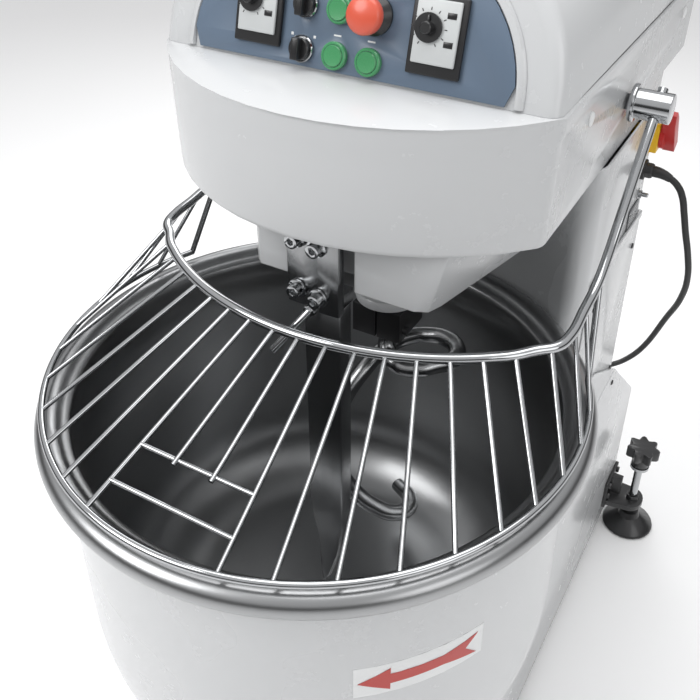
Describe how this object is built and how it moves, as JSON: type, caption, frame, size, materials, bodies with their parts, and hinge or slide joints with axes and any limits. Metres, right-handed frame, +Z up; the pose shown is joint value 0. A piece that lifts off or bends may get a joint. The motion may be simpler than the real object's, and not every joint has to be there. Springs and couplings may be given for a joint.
{
  "type": "spiral dough mixer",
  "caption": "Floor-standing spiral dough mixer: turning steel bowl under a wire guard, driven spiral hook beside a fixed breaker bar, and a hooded head with timers, selectors and buttons.",
  "frame": {"origin": "on the floor, at the middle of the footprint of everything but the cord", "axes": "+Z up, the operator stands at -Y and faces +Y, +X to the operator's right"},
  "size_m": [0.728, 1.3192, 1.374],
  "materials": {
    "white_paint": "gloss powder coat",
    "panel_blue": "satin",
    "black_plastic": "satin",
    "stainless": "brushed",
    "bright_steel": "polished",
    "dark_paint": "satin",
    "green_plastic": "gloss",
    "red_plastic": "gloss",
    "yellow_plastic": "gloss",
    "rubber_black": "matt",
    "silver_plastic": "satin",
    "cast_grey": "machined",
    "motor_grey": "satin"
  },
  "bodies": {
    "frame": {"base_housing": "white_paint", "bowl_drum": "white_paint", "column_shell": "white_paint", "column_rear_cover": "white_paint", "head_skirt": "white_paint", "head_floor": "white_paint", "head_hood": "white_paint", "gear_housing": "white_paint", "base_floor_plate": "dark_paint", "foot_bracket_left": "dark_paint", "foot_bracket_right": "dark_paint", "front_axle": "stainless", "breaker_bar": "stainless", "breaker_bracket": "stainless", "bowl_belt": "rubber_black", "spiral_belt": "rubber_black", "mains_cord": "rubber_black", "cord_coil": "rubber_black", "bowl_bearing_block": "cast_grey", "bowl_motor": "motor_grey", "spiral_motor": "motor_grey", "timer_fast_body": "black_plastic", "timer_slow_body": "black_plastic", "stop_collar": "black_plastic", "cable_gland": "black_plastic", "mains_plug": "black_plastic", "bracket_bolt_1": "bright_steel", "bracket_bolt_2": "bright_steel", "bracket_bolt_3": "bright_steel", "bracket_bolt_4": "bright_steel", "deflector_pin": "bright_steel", "selector_direction_ring": "bright_steel", "selector_speed_ring": "bright_steel", "control_panel": "panel_blue", "main_switch_body": "yellow_plastic"},
    "turning_bowl": {"bowl": "stainless", "bowl_shaft": "cast_grey", "bowl_pulley": "cast_grey"},
    "bowl_motor_rotor": {"bowl_motor_pulley": "cast_grey"},
    "spiral": {"spiral_hook": "stainless", "spiral_hub": "black_plastic", "spiral_shaft": "stainless", "spiral_pulley": "cast_grey"},
    "spiral_motor_rotor": {"spiral_motor_pulley": "cast_grey"},
    "guard": {"guard_grille": "bright_steel", "guard_boss_left": "bright_steel", "guard_boss_right": "bright_steel"},
    "timer_fast_knob": {"timer_fast_dial": "silver_plastic"},
    "timer_slow_knob": {"timer_slow_dial": "silver_plastic"},
    "direction_selector": {"selector_direction_knob": "black_plastic"},
    "speed_selector": {"selector_speed_knob": "black_plastic"},
    "fast_button": {"button_fast_cap": "green_plastic"},
    "slow_button": {"button_slow_cap": "green_plastic"},
    "jog_button": {"button_jog_cap": "green_plastic"},
    "stop_push": {"stop_button": "red_plastic"},
    "switch_handle": {"main_switch_handle": "red_plastic"},
    "foot_left": {"foot_screw_left": "black_plastic"},
    "foot_right": {"foot_screw_right": "black_plastic"},
    "wheel_left": {"front_wheel_left": "rubber_black"},
    "wheel_right": {"front_wheel_right": "rubber_black"}
  },
  "joints": [
    {"name": "bowl_spin", "type": "hinge", "parent": "frame", "child": "turning_bowl", "pos_m": [0, -0.23288, 0.4], "axis": [0, 0, -1], "continuous": true},
    {"name": "bowl_motor_spin", "type": "hinge", "parent": "frame", "child": "bowl_motor_rotor", "pos_m": [0, 0.42712, 0.118], "axis": [0, 0, -1], "continuous": true},
    {"name": "spiral_spin", "type": "hinge", "parent": "frame", "child": "spiral", "pos_m": [0.02, -0.08488, 1.1], "axis": [0, 0, -1], "continuous": true},
    {"name": "spiral_motor_spin", "type": "hinge", "parent": "frame", "child": "spiral_motor_rotor", "pos_m": [-0.02, 0.21512, 1.128], "axis": [0, 0, -1], "continuous": true},
    {"name": "guard_lift", "type": "hinge", "parent": "frame", "child": "guard", "pos_m": [0, 0.11312, 1.11], "axis": [-1, 0, 0], "range_deg": [0, 60]},
    {"name": "timer_fast_turn", "type": "hinge", "parent": "frame", "child": "timer_fast_knob", "pos_m": [-0.115, -0.15436, 1.25429], "axis": [0, 0.9659, -0.2588], "range_deg": [0, 300]},
    {"name": "timer_slow_turn", "type": "hinge", "parent": "frame", "child": "timer_slow_knob", "pos_m": [0.099, -0.15436, 1.25429], "axis": [0, 0.9659, -0.2588], "range_deg": [0, 300]},
    {"name": "direction_turn", "type": "hinge", "parent": "frame", "child": "direction_selector", "pos_m": [-0.05, -0.166, 1.21082], "axis": [0, 0.9659, -0.2588], "range_deg": [-45, 45]},
    {"name": "speed_turn", "type": "hinge", "parent": "frame", "child": "speed_selector", "pos_m": [-0.05, -0.15384, 1.25622], "axis": [0, 0.9659, -0.2588], "range_deg": [-45, 45]},
    {"name": "fast_press", "type": "slide", "parent": "frame", "child": "fast_button", "axis": [0, 0.9659, -0.2588], "range_m": [0, 0.004], "stiffness_N_per_m": 400},
    {"name": "slow_press", "type": "slide", "parent": "frame", "child": "slow_button", "axis": [0, 0.9659, -0.2588], "range_m": [0, 0.004], "stiffness_N_per_m": 400},
    {"name": "jog_press", "type": "slide", "parent": "frame", "child": "jog_button", "axis": [0, 0.9659, -0.2588], "range_m": [0, 0.004], "stiffness_N_per_m": 400},
    {"name": "stop_press", "type": "slide", "parent": "frame", "child": "stop_push", "axis": [0, 0.9659, -0.2588], "range_m": [0, 0.005], "stiffness_N_per_m": 600},
    {"name": "main_switch_turn", "type": "hinge", "parent": "frame", "child": "switch_handle", "pos_m": [0.27, 0.27812, 1.006], "axis": [1, 0, 0], "range_deg": [0, 90]},
    {"name": "foot_left_turn", "type": "hinge", "parent": "frame", "child": "foot_left", "pos_m": [-0.311, 0.52112, 0.1], "axis": [0, 0, 1], "continuous": true},
    {"name": "wheel_left_roll", "type": "hinge", "parent": "frame", "child": "wheel_left", "pos_m": [-0.205, -0.31788, 0.046], "axis": [1, 0, 0], "continuous": true},
    {"name": "foot_right_turn", "type": "hinge", "parent": "frame", "child": "foot_right", "pos_m": [0.311, 0.52112, 0.1], "axis": [0, 0, 1], "continuous": true},
    {"name": "wheel_right_roll", "type": "hinge", "parent": "frame", "child": "wheel_right", "pos_m": [0.205, -0.31788, 0.046], "axis": [1, 0, 0], "continuous": true}
  ],
  "couplings": [
    {"joint": "bowl_motor_spin", "follows": "bowl_spin", "ratio": 4.2895},
    {"joint": "spiral_motor_spin", "follows": "spiral_spin", "ratio": 2.878}
  ]
}
